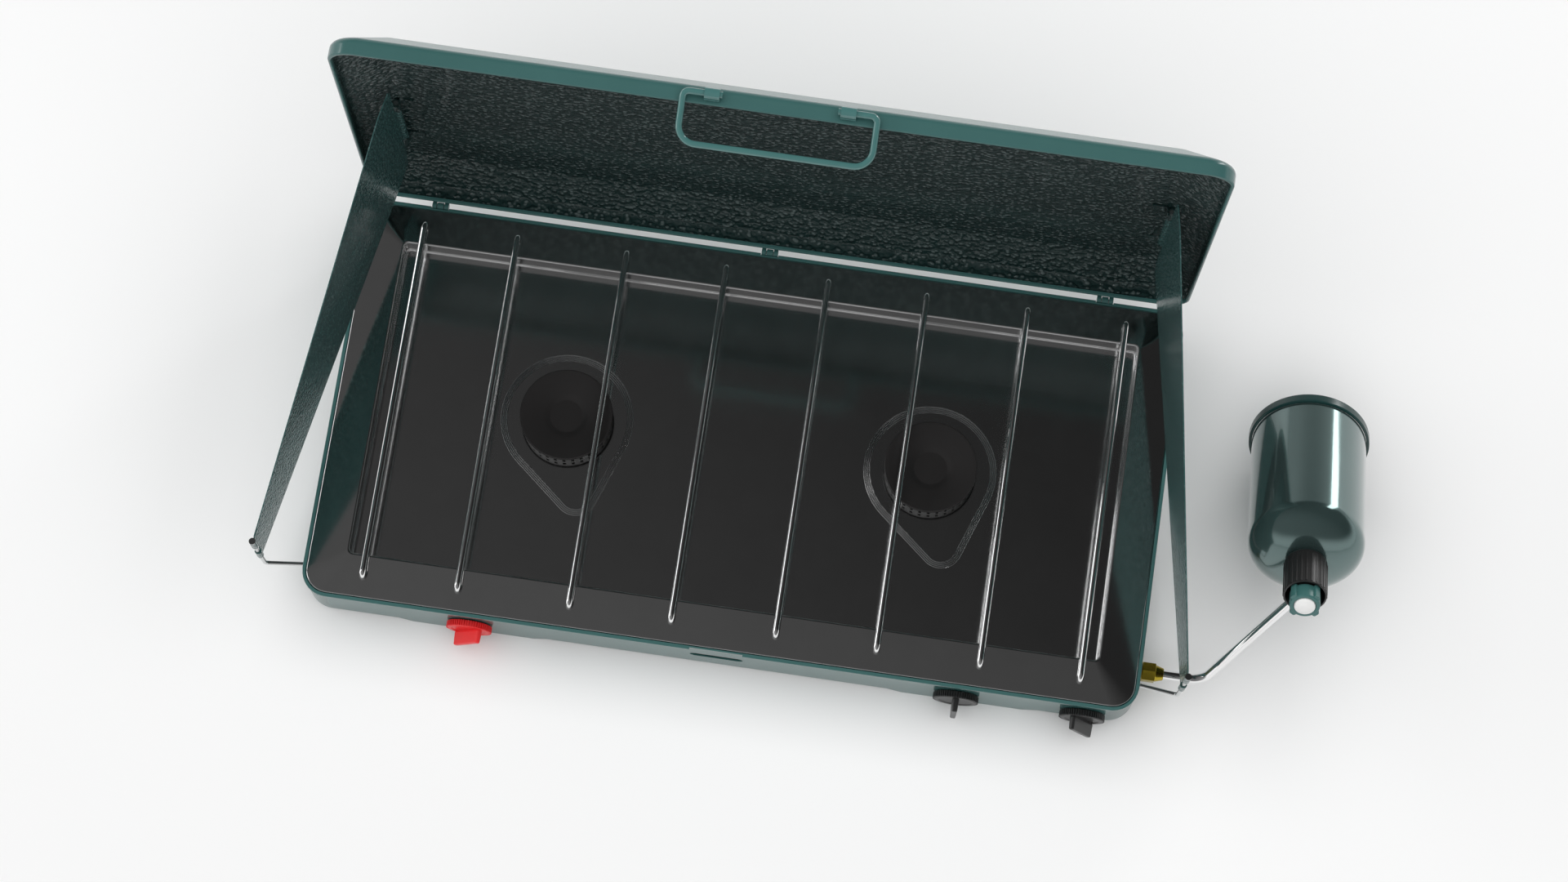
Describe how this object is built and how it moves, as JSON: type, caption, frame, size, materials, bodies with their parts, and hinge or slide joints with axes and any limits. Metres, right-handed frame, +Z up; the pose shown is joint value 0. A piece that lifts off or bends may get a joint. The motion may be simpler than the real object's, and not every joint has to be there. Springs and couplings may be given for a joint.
{
  "type": "two-burner camping stove",
  "caption": "Portable gas camping stove with its lid upright, wind sheets hooked to the case, wire pot supports, control knobs, regulator and small gas cylinder.",
  "frame": {"origin": "bottom centre of the whole object's box, on the surface that the feet rest on", "axes": "+X to the right, towards the gas cylinder, +Y to the rear, towards the lid, +Z up"},
  "size_m": [0.7092, 0.3132, 0.3267],
  "materials": {
    "teal_paint": "glossy enamel",
    "black_enamel": "glossy enamel",
    "dark_steel": "dull",
    "bright_steel": "satin",
    "chrome": "polished",
    "brass": "machined",
    "black_plastic": "satin",
    "red_plastic": "satin",
    "green_plastic": "satin",
    "white_cap": "gloss",
    "green_gloss": "gloss"
  },
  "bodies": {
    "base": {"burner_bowl_left": "dark_steel", "burner_bowl_right": "dark_steel", "burner_cap_left": "black_enamel", "burner_cap_right": "black_enamel", "burner_head_left": "dark_steel", "burner_head_right": "dark_steel", "case_shell": "teal_paint", "cooktop_tray": "black_enamel", "crossover_pipe": "dark_steel", "hinge_base_leaves": "teal_paint", "hinge_pins": "bright_steel", "igniter_body": "black_plastic", "inlet_fitting": "brass", "jet_right": "brass", "manifold_pipes": "dark_steel", "pot_rod_1": "chrome", "pot_rod_2": "chrome", "pot_rod_3": "chrome", "pot_rod_4": "chrome", "pot_rod_5": "chrome", "pot_rod_6": "chrome", "pot_rod_7": "chrome", "pot_rod_8": "chrome", "tray_ledge_left": "dark_steel", "tray_ledge_right": "dark_steel", "valve_body_1": "brass", "valve_body_2": "brass"},
    "lid": {"handle_clips": "teal_paint", "hinge_lid_leaves": "teal_paint", "lid_shell": "teal_paint", "shield_rod_left": "bright_steel", "shield_rod_right": "bright_steel", "shield_tabs_left": "dark_steel", "shield_tabs_right": "dark_steel"},
    "bail": {"handle_bail": "teal_paint"},
    "shield_left": {"windshield_left": "teal_paint"},
    "shield_right": {"windshield_right": "teal_paint"},
    "hook_left": {"hook_wire_left": "bright_steel"},
    "hook_right": {"hook_wire_right": "bright_steel"},
    "knob_1": {"valve_knob_1": "black_plastic", "valve_stem_1": "bright_steel"},
    "knob_2": {"valve_knob_2": "black_plastic", "valve_stem_2": "bright_steel"},
    "igniter_knob": {"igniter_knob": "red_plastic", "igniter_stem": "bright_steel"},
    "gas_line": {"inlet_nut": "brass", "gas_tube": "chrome", "regulator_shroud": "black_plastic", "regulator_core": "black_plastic"},
    "wheel": {"regulator_wheel": "green_plastic", "regulator_cap": "white_cap"},
    "cylinder": {"cylinder_body": "green_gloss", "cylinder_foot_ring": "green_plastic", "cylinder_valve": "brass"}
  },
  "joints": [
    {"name": "lid_hinge", "type": "hinge", "parent": "base", "child": "lid", "pos_m": [-0.05203, 0.13048, 0.04715], "axis": [1, 0, 0], "range_deg": [-15, 0]},
    {"name": "handle_swing", "type": "hinge", "parent": "lid", "child": "bail", "pos_m": [-0.05203, 0.13797, 0.3232], "axis": [-1, 0, 0], "range_deg": [0, 205]},
    {"name": "shield_left_swing", "type": "hinge", "parent": "lid", "child": "shield_left", "pos_m": [-0.3, 0.15138, 0.0488], "axis": [0, 0, -1], "range_deg": [0, 35]},
    {"name": "shield_right_swing", "type": "hinge", "parent": "lid", "child": "shield_right", "pos_m": [0.19595, 0.15138, 0.0488], "axis": [0, 0, 1], "range_deg": [0, 4]},
    {"name": "hook_left_turn", "type": "hinge", "parent": "shield_left", "child": "hook_left", "pos_m": [-0.35232, -0.12623, 0.0488], "axis": [0, 0, -1], "range_deg": [0, 100]},
    {"name": "hook_right_turn", "type": "hinge", "parent": "shield_right", "child": "hook_right", "pos_m": [0.24827, -0.12623, 0.0488], "axis": [0, 0, 1], "range_deg": [0, 100]},
    {"name": "valve_1_turn", "type": "hinge", "parent": "base", "child": "knob_1", "pos_m": [0.10677, -0.14288, 0.0213], "axis": [0, -1, 0], "range_deg": [0, 270]},
    {"name": "valve_2_turn", "type": "hinge", "parent": "base", "child": "knob_2", "pos_m": [0.18998, -0.14288, 0.0213], "axis": [0, -1, 0], "range_deg": [-32, 238]},
    {"name": "igniter_turn", "type": "hinge", "parent": "base", "child": "igniter_knob", "pos_m": [-0.21582, -0.14288, 0.0213], "axis": [0, -1, 0], "continuous": true},
    {"name": "regulator_swivel", "type": "hinge", "parent": "base", "child": "gas_line", "pos_m": [0.22298, -0.11033, 0.0238], "axis": [1, 0, 0], "range_deg": [0, 60]},
    {"name": "regulator_wheel_turn", "type": "hinge", "parent": "gas_line", "child": "wheel", "pos_m": [0.31498, -0.05939, 0.10709], "axis": [0, -0.8531, 0.5217], "continuous": true},
    {"name": "cylinder_thread", "type": "hinge", "parent": "gas_line", "child": "cylinder", "pos_m": [0.31498, 0.06048, 0.03378], "axis": [0, -0.8531, 0.5217], "range_deg": [0, 720]}
  ]
}
